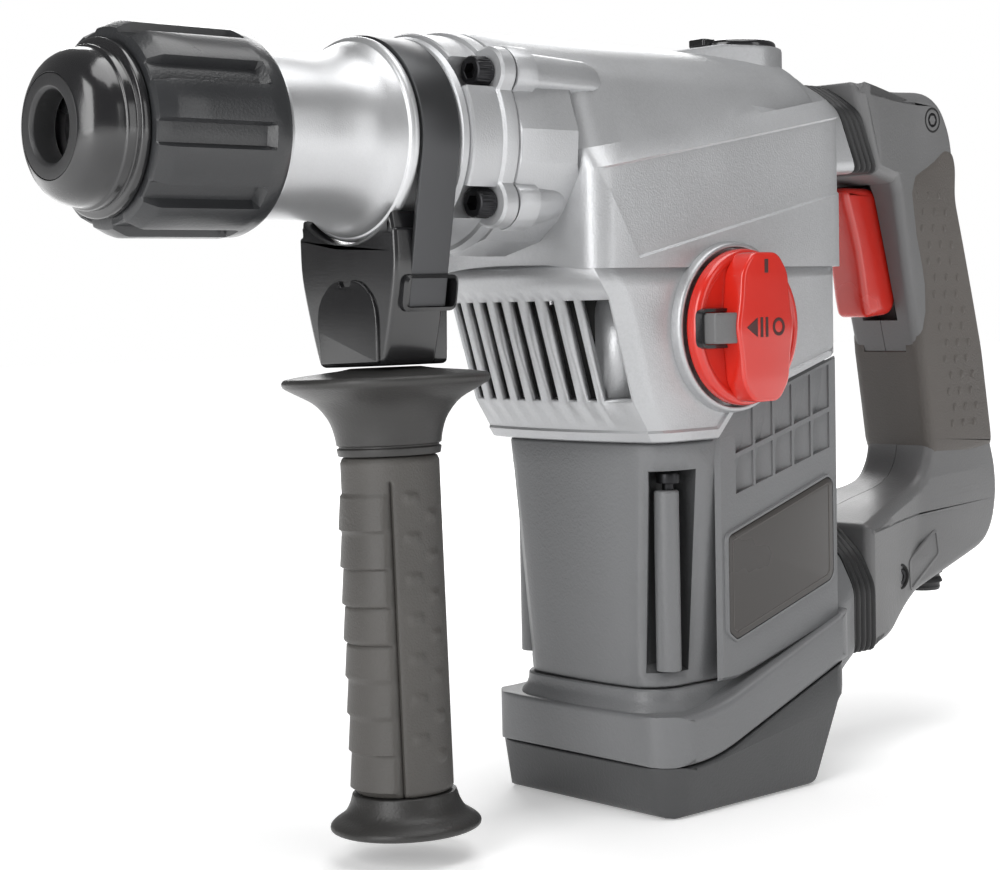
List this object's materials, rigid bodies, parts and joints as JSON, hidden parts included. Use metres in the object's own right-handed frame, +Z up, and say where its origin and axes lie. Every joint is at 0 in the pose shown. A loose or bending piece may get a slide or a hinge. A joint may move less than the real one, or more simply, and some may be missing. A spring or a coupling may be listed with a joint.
{
  "type": "rotary hammer",
  "caption": "Rotary hammer with a keyless chuck, upright motor, mode selector, damped rear handle with trigger, and a swivelling side handle",
  "frame": {"origin": "middle of the flat underside of the base, on the motor's axis", "axes": "+X along the barrel towards the rear handle, nose to -X; +Z up; the mode selector is on the -Y side"},
  "size_m": [0.4638, 0.1115, 0.2892],
  "materials": {
    "painted_magnesium": "fine-grained light grey paint on die-cast magnesium",
    "ground_steel": "ground",
    "dark_steel": "blackened",
    "grey_nylon": "fine moulded grain",
    "light_grey_nylon": "fine moulded grain",
    "dark_nylon": "fine moulded grain",
    "gloss_black_nylon": "gloss",
    "sleeve_nylon": "satin",
    "soft_rubber": "matte, finely grained",
    "gaiter_rubber": "matte",
    "red_nylon": "gloss",
    "label_plate": "printed plate, left blank",
    "copper": "turned copper bars",
    "laminated_iron": "stacked laminations",
    "carbon": "pressed carbon"
  },
  "bodies": {
    "housing": {"barrel_collar": "painted_magnesium", "shaft_seal": "soft_rubber", "front_bearing": "ground_steel", "front_cover": "painted_magnesium", "cover_bolt_upper_near": "dark_steel", "cover_bolt_upper_far": "dark_steel", "cover_bolt_lower_near": "dark_steel", "cover_bolt_lower_far": "dark_steel", "crank_bearing": "ground_steel", "bearing_plate": "painted_magnesium", "stator": "laminated_iron", "motor_bearing_upper": "ground_steel", "motor_bearing_lower": "ground_steel", "carbon_brush_near": "carbon", "carbon_brush_far": "carbon", "gearbox_upper": "painted_magnesium", "gearbox_lower": "painted_magnesium", "grease_cap": "gloss_black_nylon", "motor_housing": "grey_nylon", "motor_screw_near": "dark_steel", "motor_screw_far": "dark_steel", "nameplate": "label_plate", "base_cap": "dark_nylon", "base_collar": "grey_nylon", "upper_gaiter": "gaiter_rubber", "lower_gaiter": "gaiter_rubber"},
    "armature": {"armature_shaft": "ground_steel", "armature_core": "laminated_iron", "commutator": "copper", "cooling_fan": "dark_nylon"},
    "crank": {"crank_shaft": "ground_steel"},
    "bevel_pinion": {"bevel_pinion_shaft": "ground_steel"},
    "spindle": {"tool_holder": "ground_steel", "dust_cap": "gloss_black_nylon", "cylinder_tube": "ground_steel", "crown_wheel": "ground_steel", "locking_segment_near": "ground_steel", "locking_segment_far": "ground_steel"},
    "sleeve": {"chuck_sleeve": "sleeve_nylon", "sleeve_spring": "ground_steel"},
    "anvil": {"anvil": "ground_steel"},
    "striker": {"striker": "ground_steel"},
    "piston": {"piston": "ground_steel", "wrist_pin": "ground_steel", "connecting_rod": "ground_steel"},
    "selector": {"mode_knob": "red_nylon", "selector_shaft": "ground_steel"},
    "lock_button": {"knob_lock_button": "light_grey_nylon"},
    "rear_handle": {"handle_shell_near": "light_grey_nylon", "handle_shell_far": "light_grey_nylon", "rear_grip_rubber": "soft_rubber", "switch_body": "dark_nylon", "cable_gland": "gaiter_rubber", "handle_screw": "dark_steel"},
    "trigger": {"trigger": "red_nylon"},
    "side_clamp": {"clamp_strap": "dark_steel", "clamp_block": "gloss_black_nylon", "clamp_bolt": "ground_steel"},
    "side_grip": {"handle_core": "dark_nylon", "side_grip_rubber": "soft_rubber"}
  },
  "joints": [
    {"name": "armature_turn", "type": "hinge", "parent": "housing", "child": "armature", "pos_m": [0, 0, 0.1], "axis": [0, 0, 1], "continuous": true},
    {"name": "crank_turn", "type": "hinge", "parent": "housing", "child": "crank", "pos_m": [-0.0258, 0, 0.2], "axis": [0, 0, 1], "continuous": true},
    {"name": "bevel_shaft_turn", "type": "hinge", "parent": "housing", "child": "bevel_pinion", "pos_m": [-0.057, 0, 0.2], "axis": [0, 0, 1], "continuous": true},
    {"name": "spindle_turn", "type": "hinge", "parent": "housing", "child": "spindle", "pos_m": [-0.1956, 0, 0.2442], "axis": [1, 0, 0], "continuous": true},
    {"name": "sleeve_slide", "type": "slide", "parent": "spindle", "child": "sleeve", "axis": [1, 0, 0], "range_m": [0, 0.008], "stiffness_N_per_m": 1500, "springref_m": -0.006, "deforming": ["sleeve_spring"]},
    {"name": "piston_slide", "type": "slide", "parent": "housing", "child": "piston", "axis": [1, 0, 0], "range_m": [0, 0.02]},
    {"name": "striker_slide", "type": "slide", "parent": "housing", "child": "striker", "axis": [1, 0, 0], "range_m": [-0.014, 0.012]},
    {"name": "anvil_slide", "type": "slide", "parent": "housing", "child": "anvil", "axis": [1, 0, 0], "range_m": [-0.012, 0]},
    {"name": "selector_turn", "type": "hinge", "parent": "housing", "child": "selector", "pos_m": [-0.01, -0.046, 0.1776], "axis": [0, 1, 0], "range_deg": [-90, 90]},
    {"name": "lock_press", "type": "slide", "parent": "selector", "child": "lock_button", "axis": [1, 0, 0], "range_m": [0, 0.0025], "stiffness_N_per_m": 800, "springref_m": -0.001},
    {"name": "rear_handle_slide", "type": "slide", "parent": "housing", "child": "rear_handle", "axis": [1, 0, 0], "range_m": [-0.004, 0], "stiffness_N_per_m": 8000, "springref_m": 0.004, "deforming": ["upper_gaiter", "lower_gaiter"]},
    {"name": "trigger_pull", "type": "hinge", "parent": "rear_handle", "child": "trigger", "pos_m": [0.116, 0, 0.22907], "axis": [0, -1, 0], "range_deg": [0, 6], "stiffness_Nm_per_rad": 1.2, "springref_deg": -17.19},
    {"name": "side_handle_swing", "type": "hinge", "parent": "housing", "child": "side_clamp", "pos_m": [-0.13825, 0, 0.2442], "axis": [1, 0, 0], "range_deg": [-150, 150]},
    {"name": "side_grip_turn", "type": "hinge", "parent": "side_clamp", "child": "side_grip", "pos_m": [-0.13825, 0, 0.2442], "axis": [0, -0.0314, -0.9995], "range_deg": [-180, 180]}
  ],
  "couplings": [
    {"joint": "crank_turn", "follows": "armature_turn", "ratio": -0.19444},
    {"joint": "bevel_shaft_turn", "follows": "armature_turn", "ratio": 0.4375},
    {"joint": "spindle_turn", "follows": "armature_turn", "ratio": 0.10938}
  ]
}
